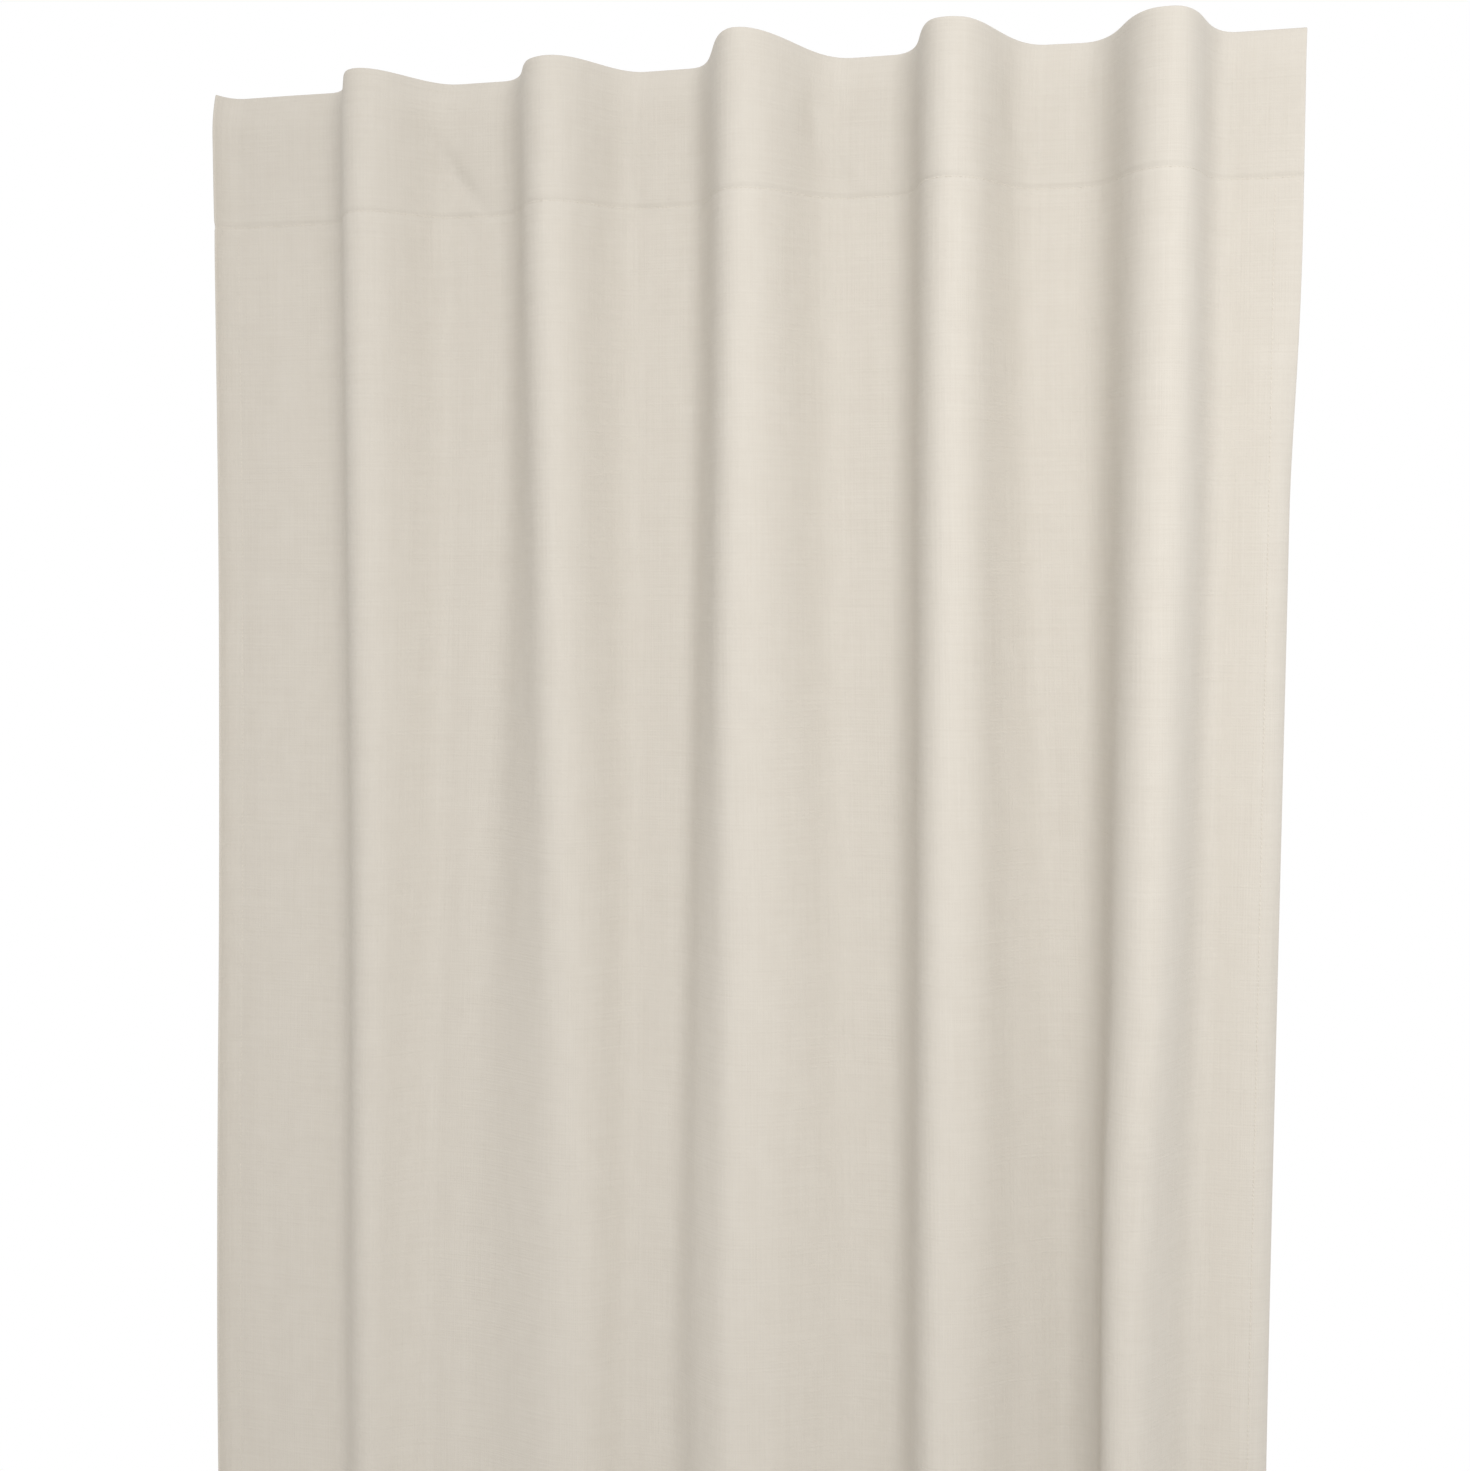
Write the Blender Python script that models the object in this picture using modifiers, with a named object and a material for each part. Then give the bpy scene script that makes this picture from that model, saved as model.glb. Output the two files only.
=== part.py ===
"""A hidden-tab curtain panel, hung in soft folds from a rod that runs through the loops on its back.

X runs along the rod, -Y is the front of the curtain and +Z is up. The origin is on the rod's axis,
halfway between the first and the last loop.
"""

import math

import bmesh
import bpy

# The flat cloth, in metres.
CLOTH_LENGTH = 2.500
HEADER_DEPTH = 0.100
SIDE_HEM_WIDTH = 0.022
BOTTOM_HEM_DEPTH = 0.080
EDGE_MARGIN = 0.045  # cloth beyond the middle of the first and the last loop
TAB_PITCH = 0.202  # from loop to loop along the flat cloth
CLOTH_THICK = 0.0008
TAPE_THICK = 0.0010
LAYER_GAP = 0.0003  # between two layers that are sewn face to face

# The heading tape and its loops.
TAPE_BELOW_TOP = 0.010
TAPE_ABOVE_SEAM = 0.002
TAPE_END_INSET = 0.012
TAB_WIDTH = 0.045
TAB_SEAM = 0.008  # sewn length at each end of a loop
TAB_BEND = 0.002  # radius where a loop leaves its upper seam
TAB_SAG = 0.003  # slack between the rod and the lower seam
ROD_RADIUS = 0.014
ROD_CLEARANCE = 0.0025
ROD_BELOW_TOP = 0.041  # from the cloth's top edge down to the rod's axis

# How the panel hangs: from the first loop to the last, each gap's share of that, and how far each fold
# leans to the right at its crest.
HUNG_WIDTH = 0.700
GAP_SHARES = (0.23, 0.20, 0.21, 0.19, 0.17)
FOLD_LEANS = (0.010, 0.008, 0.006, 0.010, 0.022)
EDGE_TURN = 0.60  # radians by which the free edges curl forwards

# Sewing thread and the blank label.
THREAD_RADIUS = 0.0003
STITCH_INSET = 0.004  # from a hem's inner edge to its row of stitches
LABEL_WIDTH = 0.030
LABEL_LENGTH = 0.055
LABEL_ABOVE_HEM = 0.120
LABEL_THICK = 0.0004

# How finely the folds are drawn.
STEPS_PER_FOLD = 22
STEPS_PER_FLAT = 2
STEPS_PER_EDGE = 3
STEPS_PER_BEND = 4
STEPS_PER_LOOP = 9
ARC_STEPS = 3000  # steps of the sum that gives a fold's width
STEPS_BETWEEN = 40  # steps of the sum between two drawn points of a fold
WIDEST_TURN = 2.2  # radians, past any fold that can hang
HALVINGS = 40
SHORTEST_STEP = 0.0005  # points of a layer lie at least this far from its ends

TAB_GAPS = [HUNG_WIDTH * share / sum(GAP_SHARES) for share in GAP_SHARES]
FIRST_TAB = -HUNG_WIDTH / 2
FLAT_WIDTH = len(TAB_GAPS) * TAB_PITCH + 2 * EDGE_MARGIN
RISE = TAB_PITCH - TAB_WIDTH  # cloth in one fold, between two flats
LOOP_RADIUS = ROD_RADIUS + ROD_CLEARANCE + TAPE_THICK / 2
TOP = ROD_BELOW_TOP
SEAM = TOP - HEADER_DEPTH
BOTTOM = TOP - CLOTH_LENGTH
HEM_TOP = BOTTOM + BOTTOM_HEM_DEPTH

# Middle planes of the layers, counted from the middle of the face cloth towards the back.
FACING_BACK = CLOTH_THICK + LAYER_GAP
TAPE_BACK = FACING_BACK + (CLOTH_THICK + TAPE_THICK) / 2 + LAYER_GAP
TAB_BACK = TAPE_BACK + TAPE_THICK + LAYER_GAP
FACE_Y = -LOOP_RADIUS - TAB_BACK  # the face cloth's middle plane at the flats, in front of the rod


def clear_scene():
    for leftover in list(bpy.data.objects):
        bpy.data.objects.remove(leftover)


def make_material(name, colour, roughness):
    made = bpy.data.materials.new(name)
    made.use_nodes = True
    shader = made.node_tree.nodes["Principled BSDF"]
    shader.inputs["Base Color"].default_value = (*colour, 1.0)
    shader.inputs["Roughness"].default_value = roughness
    shader.inputs["Metallic"].default_value = 0.0
    return made


def fold_width(turn, length):
    """Width of a fold whose cloth swings to and fro by the angle turn along its length."""
    step = length / ARC_STEPS
    return sum(
        math.cos(turn * math.sin(2 * math.pi * (k + 0.5) / ARC_STEPS)) for k in range(ARC_STEPS)
    ) * step


def solve_turn(width, length):
    """The angle that folds a given length of cloth into a given width."""
    low, high = 0.0, WIDEST_TURN
    for _ in range(HALVINGS):
        middle = (low + high) / 2
        if fold_width(middle, length) > width:
            low = middle
        else:
            high = middle
    return (low + high) / 2


def fold_points(turn, length, lean, steps):
    """Points across one fold from flat to flat, as (cloth run, width, depth), without the first one."""
    run = width = depth = 0.0
    step = length / (steps * STEPS_BETWEEN)
    points = []
    for _ in range(steps):
        for _ in range(STEPS_BETWEEN):
            angle = turn * math.sin(2 * math.pi * (run + step / 2) / length)
            width += math.cos(angle) * step
            depth += math.sin(angle) * step
            run += step
        points.append([run, width, depth])
    deepest = max(point[2] for point in points)
    for point in points:
        point[1] += lean * point[2] / deepest
    return points


def edge_points(steps):
    """Points from a flat out to the free edge, as (cloth run, width, depth)."""
    length = EDGE_MARGIN - TAB_WIDTH / 2
    points, width, depth = [], 0.0, 0.0
    for k in range(steps):
        angle = EDGE_TURN * (k + 1) / steps
        width += math.cos(angle) * length / steps
        depth += math.sin(angle) * length / steps
        points.append((length * (k + 1) / steps, width, depth))
    return points


def plan_line():
    """The hung cloth seen from above, as (run along the flat cloth, x, y) from left to right."""
    half_flat = TAB_WIDTH / 2
    line = [
        (EDGE_MARGIN - half_flat - run, FIRST_TAB - half_flat - width, FACE_Y - depth)
        for run, width, depth in reversed(edge_points(STEPS_PER_EDGE))
    ]
    tab, run_at_tab = FIRST_TAB, EDGE_MARGIN
    for index in range(len(TAB_GAPS) + 1):
        for k in range(STEPS_PER_FLAT + 1):
            along = TAB_WIDTH * (k / STEPS_PER_FLAT - 0.5)
            line.append((run_at_tab + along, tab + along, FACE_Y))
        if index < len(TAB_GAPS):
            turn = solve_turn(TAB_GAPS[index] - TAB_WIDTH, RISE)
            points = fold_points(turn, RISE, FOLD_LEANS[index], STEPS_PER_FOLD)
            for run, width, depth in points[:-1]:
                line.append(
                    (run_at_tab + half_flat + run, tab + half_flat + width, FACE_Y - depth)
                )
            tab += TAB_GAPS[index]
            run_at_tab += TAB_PITCH
    for run, width, depth in edge_points(STEPS_PER_EDGE):
        line.append((run_at_tab + half_flat + run, tab + half_flat + width, FACE_Y - depth))
    return line


def stretch_of(line, start, end):
    """The part of the plan line between two runs along the flat cloth, with its ends cut to length."""

    def at(run):
        for before, after in zip(line, line[1:]):
            if before[0] <= run <= after[0]:
                share = (run - before[0]) / (after[0] - before[0])
                return tuple(a + (b - a) * share for a, b in zip(before, after))
        return line[0] if run < line[0][0] else line[-1]

    first, last = start + SHORTEST_STEP, end - SHORTEST_STEP
    inside = [point for point in line if first < point[0] < last]
    return [at(start), *inside, at(end)]


def moved_back(line, distance):
    """The plan line moved towards the back of the cloth, as a mitred parallel line of (x, y)."""
    moved = []
    for i, (_, x, y) in enumerate(line):
        before, after = line[max(i - 1, 0)], line[min(i + 1, len(line) - 1)]
        ways = []
        for start, end in ((before, line[i]), (line[i], after)):
            run_x, run_y = end[1] - start[1], end[2] - start[2]
            length = math.hypot(run_x, run_y)
            if length > 0:
                ways.append((-run_y / length, run_x / length))
        normal_x = sum(way[0] for way in ways) / len(ways)
        normal_y = sum(way[1] for way in ways) / len(ways)
        size = normal_x**2 + normal_y**2
        moved.append((x + distance * normal_x / size, y + distance * normal_y / size))
    return moved


def finish_node(mesh, name, material, collection):
    node = bpy.data.objects.new(name, mesh)
    collection.objects.link(node)
    mesh.materials.append(material)
    mesh.shade_smooth()
    return node


def make_ribbon(name, grid_points, thickness, material, collection):
    """A sheet through a grid of points, given its thickness half to each side."""
    rows, columns = len(grid_points), len(grid_points[0])
    sheet = bmesh.new()
    made = bmesh.ops.create_grid(sheet, x_segments=columns - 1, y_segments=rows - 1, size=1.0)
    for vertex in made["verts"]:
        column = round((vertex.co.x + 1) / 2 * (columns - 1))
        row = round((vertex.co.y + 1) / 2 * (rows - 1))
        vertex.co = grid_points[row][column]
    mesh = bpy.data.meshes.new(name)
    sheet.to_mesh(mesh)
    sheet.free()
    node = finish_node(mesh, name, material, collection)
    shell = node.modifiers.new("cloth thickness", "SOLIDIFY")
    shell.thickness = thickness
    shell.offset = 0.0
    shell.use_even_offset = True
    return node


def layer_line(line, span, back):
    """Where a layer that far behind the face cloth runs between two runs of it, as points of (x, y)."""
    placed = [(run, x, y) for (run, _, _), (x, y) in zip(line, moved_back(line, back))]
    return [(x, y) for _, x, y in stretch_of(placed, *span)]


def make_hung_layer(name, line, span, heights, back, thickness, material, collection):
    """A layer of cloth that hangs in the panel's folds, between two runs and at the given heights."""
    across = layer_line(line, span, back)
    grid_points = [[(x, y, height) for x, y in across] for height in sorted(heights)]
    return make_ribbon(name, grid_points, thickness, material, collection)


def tab_path():
    """One loop seen from the side, as (y, z) from its upper seam over the rod to its lower seam."""
    front = -LOOP_RADIUS
    upper = LOOP_RADIUS + TAB_BEND
    path = [(front, upper + TAB_SEAM), (front, upper + TAB_SEAM / 2)]
    for k in range(STEPS_PER_BEND):
        angle = math.pi * (1 + k / (2 * (STEPS_PER_BEND - 1)))
        path.append(
            (front + TAB_BEND * (1 + math.cos(angle)), upper + TAB_BEND * math.sin(angle))
        )
    for k in range(STEPS_PER_LOOP + 1):
        angle = math.pi * (0.5 - 0.75 * k / STEPS_PER_LOOP)
        path.append((LOOP_RADIUS * math.cos(angle), LOOP_RADIUS * math.sin(angle)))
    lower = SEAM + STITCH_INSET + TAB_SEAM
    leave_y, leave_z = path[-1]
    for k in range(1, STEPS_PER_BEND):
        share = k / STEPS_PER_BEND
        sag = TAB_SAG * math.sin(math.pi * share)
        y = leave_y + (front - leave_y) * share
        path.append((y, leave_z + (lower - leave_z) * share - sag))
    path += [(front, lower), (front, lower - TAB_SEAM)]
    return path


def make_tab(name, middle, material, collection):
    half = TAB_WIDTH / 2
    grid_points = [
        [(middle + side * half, y, z) for side in (-1, 0, 1)] for y, z in reversed(tab_path())
    ]
    return make_ribbon(name, grid_points, TAPE_THICK, material, collection)


def make_thread(name, points, material, collection):
    """A row of stitches, as one thin thread lying on the cloth."""
    path = bpy.data.curves.new(name, "CURVE")
    path.dimensions = "3D"
    path.bevel_depth = THREAD_RADIUS
    path.bevel_resolution = 0
    path.use_fill_caps = True
    path.materials.append(material)
    spline = path.splines.new("POLY")
    spline.points.add(len(points) - 1)
    for point, place in zip(spline.points, points):
        point.co = (*place, 1.0)
    node = bpy.data.objects.new(name, path)
    collection.objects.link(node)
    return node


def build():
    clear_scene()
    panel = bpy.data.collections.new("curtain_panel")
    bpy.context.scene.collection.children.link(panel)
    cloth = make_material("face_cloth", (0.72, 0.68, 0.61), 0.90)
    lining = make_material("turned_cloth", (0.70, 0.66, 0.59), 0.92)
    webbing = make_material("tape_webbing", (0.80, 0.78, 0.73), 0.85)
    thread = make_material("sewing_thread", (0.74, 0.71, 0.65), 0.60)
    satin = make_material("label_satin", (0.86, 0.86, 0.84), 0.45)

    line = plan_line()
    whole = (0.0, FLAT_WIDTH)
    hem_heights = [BOTTOM, HEM_TOP]
    face_heights = [*hem_heights, SEAM, TOP]
    make_hung_layer("face_panel", line, whole, face_heights, 0.0, CLOTH_THICK, cloth, panel)

    # The cloth turned over at the top, the tape sewn on it and the loops for the rod.
    make_hung_layer(
        "header_facing", line, whole, [SEAM, TOP], FACING_BACK, CLOTH_THICK, lining, panel
    )
    tape_span = (TAPE_END_INSET, FLAT_WIDTH - TAPE_END_INSET)
    make_hung_layer(
        "heading_tape",
        line,
        tape_span,
        [SEAM + TAPE_ABOVE_SEAM, TOP - TAPE_BELOW_TOP],
        TAPE_BACK,
        TAPE_THICK,
        webbing,
        panel,
    )
    middle = FIRST_TAB
    for index in range(len(TAB_GAPS) + 1):
        make_tab(f"tab_{index + 1}", middle, webbing, panel)
        if index < len(TAB_GAPS):
            middle += TAB_GAPS[index]

    # The hems, turned to the back and sewn.
    side_heights = [HEM_TOP + LAYER_GAP, SEAM - LAYER_GAP]
    left = (0.0, SIDE_HEM_WIDTH)
    right = (FLAT_WIDTH - SIDE_HEM_WIDTH, FLAT_WIDTH)
    for name, span in (("left_side_hem", left), ("right_side_hem", right)):
        make_hung_layer(name, line, span, side_heights, FACING_BACK, CLOTH_THICK, lining, panel)
    make_hung_layer(
        "bottom_hem", line, whole, hem_heights, FACING_BACK, CLOTH_THICK, lining, panel
    )

    # The rows of stitches that show on the front.
    front = -CLOTH_THICK / 2 - LAYER_GAP / 2 - THREAD_RADIUS
    for name, height in (
        ("header_stitching", SEAM + STITCH_INSET),
        ("bottom_hem_stitching", HEM_TOP - STITCH_INSET),
    ):
        row = [(x, y, height) for x, y in layer_line(line, whole, front)]
        make_thread(name, row, thread, panel)
    for name, run in (
        ("left_hem_stitching", SIDE_HEM_WIDTH - STITCH_INSET),
        ("right_hem_stitching", FLAT_WIDTH - SIDE_HEM_WIDTH + STITCH_INSET),
    ):
        x, y = layer_line(line, (run, FLAT_WIDTH), front)[0]
        make_thread(name, [(x, y, height) for height in side_heights], thread, panel)

    # A blank label, sewn flat on the back of the left side hem.
    label_back = FACING_BACK + (CLOTH_THICK + LABEL_THICK) / 2 + LAYER_GAP
    label_low = HEM_TOP + LABEL_ABOVE_HEM
    label_span = (SIDE_HEM_WIDTH - LABEL_WIDTH / 2, SIDE_HEM_WIDTH + LABEL_WIDTH / 2)
    make_hung_layer(
        "care_label",
        line,
        label_span,
        [label_low, label_low + LABEL_LENGTH],
        label_back,
        LABEL_THICK,
        satin,
        panel,
    )


build()
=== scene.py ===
"""A linen-look curtain panel with hidden loops, hanging in soft folds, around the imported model."""

import math

import bmesh
import bpy
import numpy as np
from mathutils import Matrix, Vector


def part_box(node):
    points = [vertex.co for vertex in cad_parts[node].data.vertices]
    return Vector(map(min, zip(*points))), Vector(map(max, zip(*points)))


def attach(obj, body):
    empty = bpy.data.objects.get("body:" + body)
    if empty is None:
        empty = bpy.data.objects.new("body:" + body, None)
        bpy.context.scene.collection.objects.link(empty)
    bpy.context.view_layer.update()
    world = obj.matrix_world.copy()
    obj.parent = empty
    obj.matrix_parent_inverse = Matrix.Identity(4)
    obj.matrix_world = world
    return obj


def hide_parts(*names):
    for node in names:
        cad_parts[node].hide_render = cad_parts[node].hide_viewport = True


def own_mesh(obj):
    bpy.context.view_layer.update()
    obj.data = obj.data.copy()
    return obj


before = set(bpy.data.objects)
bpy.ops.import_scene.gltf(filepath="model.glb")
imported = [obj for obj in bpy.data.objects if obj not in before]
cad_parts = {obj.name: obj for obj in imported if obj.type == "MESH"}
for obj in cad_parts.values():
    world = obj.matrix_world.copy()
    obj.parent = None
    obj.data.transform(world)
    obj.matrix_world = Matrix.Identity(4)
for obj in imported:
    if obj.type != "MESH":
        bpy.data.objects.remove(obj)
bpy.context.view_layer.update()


# The room
# A white studio without corners: a pale floor under the hem, light from all round that is a little
# dimmer and warmer at the front, and a soft lamp at the front right with its light held together.
# The camera stands to the right of the panel's middle and below its top.

panel_low, panel_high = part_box("face_panel")
loop_boxes = [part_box(f"tab_{number}") for number in range(1, 7)]

scene = bpy.context.scene
scene.view_settings.view_transform = "Standard"

EYE_TURN = math.radians(16.6)
EYE_TILT = math.radians(4.2)
EYE_DISTANCE = 1.58
EYE_BELOW_TOP = 0.352
AIM_X = 0.010
LENS = 54.6
FRONT_WALLS = (0.93, 0.908, 0.883)  # dimmer and a little warmer than the white backdrop
WALLS_MEET = 0.3  # how far forwards and back of the panel the two colours run into each other

camera = bpy.data.objects.new("camera", bpy.data.cameras.new("camera"))
scene.collection.objects.link(camera)
camera.data.sensor_width = 36.0
camera.data.lens = LENS
camera.location = (
    AIM_X + EYE_DISTANCE * math.sin(EYE_TURN),
    panel_high.y - EYE_DISTANCE * math.cos(EYE_TURN),
    panel_high.z - EYE_BELOW_TOP,
)
camera.rotation_euler = (math.pi / 2 - EYE_TILT, 0.0, EYE_TURN)
scene.camera = camera

world = bpy.data.worlds.new("white studio")
scene.world = world
world.use_nodes = True
sky = world.node_tree
ways = sky.nodes.new("ShaderNodeTexCoord")
way_parts = sky.nodes.new("ShaderNodeSeparateXYZ")
sky.links.new(ways.outputs["Generated"], way_parts.inputs[0])
behind = sky.nodes.new("ShaderNodeMapRange")
behind.inputs["From Min"].default_value = -WALLS_MEET
behind.inputs["From Max"].default_value = WALLS_MEET
sky.links.new(way_parts.outputs["Y"], behind.inputs["Value"])
walls = sky.nodes.new("ShaderNodeMix")
walls.data_type = "RGBA"
walls.inputs[6].default_value = (*FRONT_WALLS, 1.0)
walls.inputs[7].default_value = (1.0, 1.0, 1.0, 1.0)
sky.links.new(behind.outputs["Result"], walls.inputs["Factor"])
sky.links.new(walls.outputs[2], sky.nodes["Background"].inputs["Color"])


def add_lamp(name, place, target, size, power):
    lamp = bpy.data.objects.new(name, bpy.data.lights.new(name, "AREA"))
    scene.collection.objects.link(lamp)
    lamp.data.size = size
    lamp.data.energy = power
    lamp.location = place
    way = lamp.location.copy()
    way.x, way.y, way.z = (target[k] - place[k] for k in range(3))
    lamp.rotation_euler = way.to_track_quat("-Z", "Y").to_euler()
    return lamp


KEY_PLACE = (0.80, -1.7, 0.30)
KEY_TARGET = (0.25, 0.0, -0.40)
KEY_SIZE = 0.9
KEY_WATTS = 5.2
KEY_SPREAD = math.radians(85)
key_lamp = add_lamp("key lamp", KEY_PLACE, KEY_TARGET, KEY_SIZE, KEY_WATTS)
key_lamp.data.spread = KEY_SPREAD

FLOOR_RADIUS = 3.2
FLOOR_BELOW_HEM = 0.020
floor_shape = bmesh.new()
bmesh.ops.create_circle(floor_shape, cap_ends=True, segments=96, radius=FLOOR_RADIUS)
bmesh.ops.translate(
    floor_shape, verts=floor_shape.verts, vec=(0.0, 0.0, panel_low.z - FLOOR_BELOW_HEM)
)
floor_mesh = bpy.data.meshes.new("floor")
floor_shape.to_mesh(floor_mesh)
floor_shape.free()
floor = bpy.data.objects.new("floor", floor_mesh)
scene.collection.objects.link(floor)
pale = bpy.data.materials.new("pale floor")
pale.use_nodes = True
pale_shader = pale.node_tree.nodes["Principled BSDF"]
pale_shader.inputs["Base Color"].default_value = (0.8, 0.79, 0.77, 1.0)
pale_shader.inputs["Roughness"].default_value = 0.8
floor_mesh.materials.append(pale)


# Face cloth
# One length of slubbed plain weave, 1.10 m wide and 2.50 m long, hung by the six loops behind its
# header. It lies flat on each loop, swings out in a fold between two loops, and falls freely below.

FLAT_WIDTH = 1.10
CLOTH_LENGTH = 2.50
CLOTH_THICK = 0.0006
EDGE_MARGIN = 0.045  # cloth beyond the middle of the first and the last loop
LEFT_EDGE_TURN = 1.20  # radians by which the left edge curls forwards
RIGHT_EDGE_TURN = 1.30  # radians by which the right edge curls back, below the header
RIGHT_CURLS = (0.08, 0.32)  # how far down the right edge starts to curl, and has curled fully
FACE_INSET = 0.0004  # from the back of the face cloth's box to the cloth's middle at the loops
LAYER_BACK = 0.0011  # from the face cloth's middle to the middle of the cloth turned over behind it
HEADER_DEPTH = panel_high.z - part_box("header_facing")[0].z
HEM_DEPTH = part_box("bottom_hem")[1].z - panel_low.z
STITCH_INSET = 0.004  # from a hem's inner edge to its row of stitches

loop_middles = [(low.x + high.x) / 2 for low, high in loop_boxes]
loop_width = loop_boxes[0][1].x - loop_boxes[0][0].x
pitch = (FLAT_WIDTH - 2 * EDGE_MARGIN) / (len(loop_middles) - 1)
loop_runs = [EDGE_MARGIN + pitch * k for k in range(len(loop_middles))]
face_y = panel_high.y - FACE_INSET
top = panel_high.z

# How far down the folds start to leave their places at the header, and have their places low down.
LOOSENS = (0.08, 1.10)
FALLS = (0.11, 0.70)  # how far down the flats start to fall back, and have fallen
# Each fold's crest as a share of the cloth between two flats: at the header, then low down.
CRESTS_HIGH = (0.46, 0.50, 0.47, 0.49, 0.60)
CRESTS_LOW = (0.48, 0.68, 0.44, 0.42, 0.46)
# How far the cloth at each loop has wandered sideways, and to the back, a metre below the header.
DRIFTS = (-0.020, -0.032, -0.012, 0.012, 0.024, -0.004)
FALLS_BACK = (0.008, 0.004, 0.010, 0.010, 0.010, 0.006)
# How much of its swing each fold has, at the header and low down.
SWINGS_HIGH = (0.98, 0.80, 0.98, 0.95, 0.82)
SWINGS_LOW = (0.46, 0.38, 0.82, 0.80, 0.76)
# Where each fold's left flank starts, in half loop widths from the middle of the loop before it.
FLATS_HIGH = (2.15, 1.10, 1.15, 1.10, 0.80)
FLATS_LOW = (3.00, 0.60, 0.60, 0.60, 0.40)
FLATS_BEFORE = (0.5, 0.5, 0.3, 0.2, 0.0)  # the same from each right flank's foot to the loop after it
# 0 for an even wave; more makes a flank flatter, and the bends at its crest and its foot sharper.
LEFT_PLANES = (1.4, 0.8, 1.5, 1.1, 0.5)
RIGHT_PLANE = 1.0
CREST_LIFTS = (0.006, 0.003, 0.011, 0.007, 0.004)  # how far each crest stands up over the flats
DEEP = 0.055  # the depth at which a crest stands up fully
FLAT_LEAN = 0.007  # how far the header's upper edge leans back at the flats
RIPPLE_TURN = 0.060  # radians that the longest slack ripple turns the cloth
PUCKER_DEPTH = 0.00030  # of the small waves along the header's seam
SEAM_SUNK, SEAM_WIDE = 0.0010, 0.0022  # how the header's seam draws the cloth in
HEM_SUNK, HEM_WIDE = 0.0004, 0.0030  # the same for the bottom hem's seam


def ease(value, low, high):
    share = np.clip((value - low) / (high - low), 0.0, 1.0)
    return share * share * (3 - 2 * share)


swings = np.linspace(0.0, 1.55, 311)
FLANK_STEPS = 240


def flank(share, plane):
    """The cloth's turn along a flank, as a share of the most that it turns there."""
    return np.tanh(plane * np.sin(np.pi * share)) / math.tanh(plane)


def flank_table(plane):
    """How far across and how deep a flank goes at each swing, as shares of its length."""
    turned = swings[:, None] * flank((np.arange(FLANK_STEPS) + 0.5) / FLANK_STEPS, plane)
    return np.cos(turned).mean(axis=1), np.sin(turned).mean(axis=1)


left_tables = [flank_table(plane) for plane in LEFT_PLANES]
right_covers, right_rises = flank_table(RIGHT_PLANE)


def flank_swings(covered, crest, left_table):
    """How far the left and the right flank of a fold turn, so that it fits its gap and closes."""
    left_covers, left_rises = left_table
    right = np.interp(left_rises * crest / (1 - crest), right_rises, swings)
    width = crest * left_covers + (1 - crest) * np.interp(right, swings, right_covers)
    left = np.interp(-covered, -width, swings)
    return left, np.interp(left, swings, right)


runs = np.linspace(0.0, FLAT_WIDTH, 441)
stitch_down = HEADER_DEPTH - STITCH_INSET
hem_down = CLOTH_LENGTH - HEM_DEPTH
downs = np.concatenate(
    [
        np.linspace(0.0, 0.088, 23),
        np.linspace(0.090, 0.104, 15),
        np.linspace(0.108, 0.140, 9),
        np.linspace(0.155, hem_down - 0.012, 105),
        np.linspace(hem_down - 0.008, hem_down + 0.012, 11),
        np.linspace(hem_down + 0.020, CLOTH_LENGTH, 5),
    ]
)
down_grid, run_grid = np.meshgrid(downs, runs, indexing="ij")

# The turn of the cloth along each row, from the folds, the curled edges and small slack ripples.
turns = np.zeros_like(run_grid)
hung_middles = np.array(loop_middles)
for row, down in enumerate(downs):
    low_down = ease(down, *LOOSENS)
    middles = hung_middles + np.array(DRIFTS) * low_down
    for k in range(len(loop_runs) - 1):
        flat_after = loop_width / 2 * (FLATS_HIGH[k] + (FLATS_LOW[k] - FLATS_HIGH[k]) * low_down)
        flat_before = loop_width / 2 * FLATS_BEFORE[k]
        start, end = loop_runs[k] + flat_after, loop_runs[k + 1] - flat_before
        crest = CRESTS_HIGH[k] + (CRESTS_LOW[k] - CRESTS_HIGH[k]) * low_down
        covered = (middles[k + 1] - middles[k] - flat_after - flat_before) / (end - start)
        left, right = flank_swings(covered, crest, left_tables[k])
        share = (runs - start) / (end - start)
        rising = (share > 0) & (share <= crest)
        falling = (share > crest) & (share < 1)
        swing = SWINGS_HIGH[k] + (SWINGS_LOW[k] - SWINGS_HIGH[k]) * low_down
        left, right = left * swing, right * swing
        turns[row, rising] = left * flank(share[rising] / crest, LEFT_PLANES[k])
        turns[row, falling] = -right * flank((share[falling] - crest) / (1 - crest), RIGHT_PLANE)
    first, last = loop_runs[0] - loop_width / 2, loop_runs[-1] + loop_width / 2
    curled = runs < first
    turns[row, curled] = -LEFT_EDGE_TURN * (first - runs[curled]) / first
    curled = runs > last
    right_turn = RIGHT_EDGE_TURN * ease(down, *RIGHT_CURLS)
    turns[row, curled] = -right_turn * (runs[curled] - last) / (FLAT_WIDTH - last)

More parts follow.
